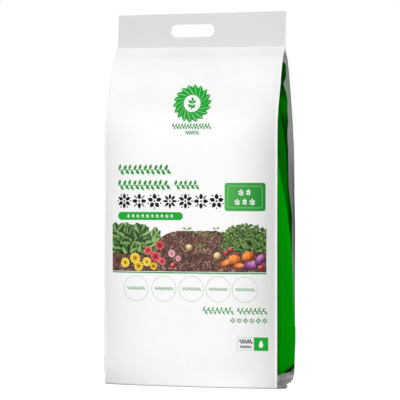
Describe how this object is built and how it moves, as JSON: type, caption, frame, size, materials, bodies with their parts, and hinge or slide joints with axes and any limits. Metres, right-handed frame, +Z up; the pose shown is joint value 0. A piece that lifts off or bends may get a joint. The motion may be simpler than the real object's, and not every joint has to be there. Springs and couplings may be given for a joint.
{
  "type": "compost bag",
  "caption": "Side-gusseted film bag filled with compost, standing on its base, with a wide welded header and a punched hand slot.",
  "frame": {"origin": "on the floor under the middle of the bag", "axes": "+Z up towards the header, -Y out of the printed front, +X to the right of someone facing the front"},
  "size_m": [0.2322, 0.1184, 0.449],
  "materials": {
    "film": "white polyethylene film with satin gloss"
  },
  "bodies": {
    "root": {"bag": "film"}
  },
  "joints": []
}
